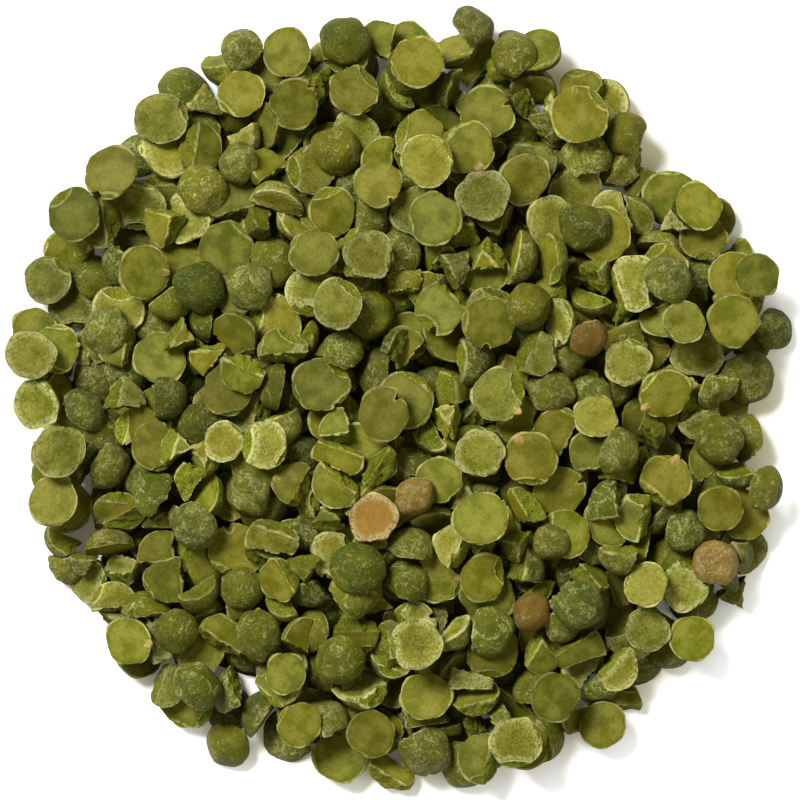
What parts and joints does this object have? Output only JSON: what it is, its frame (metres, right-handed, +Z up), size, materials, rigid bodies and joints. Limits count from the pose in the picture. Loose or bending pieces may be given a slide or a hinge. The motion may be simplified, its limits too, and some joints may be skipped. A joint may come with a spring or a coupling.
{
  "type": "heap of split peas",
  "caption": "Low round heap of dry green split peas, poured out loose on a flat surface, with whole halves, broken pieces and a few tan ones.",
  "frame": {"origin": "middle of the heap's flat underside, on the surface that it lies on", "axes": "+Z up out of the heap, +X to the picture's right, +Y to the picture's top"},
  "size_m": [0.0938, 0.095, 0.0154],
  "materials": {
    "split_peas": "satin yellow-green flat faces, duller and darker green domes, pale floury breaks"
  },
  "bodies": {
    "root": {"split_pea_heap": "split_peas"}
  },
  "joints": []
}
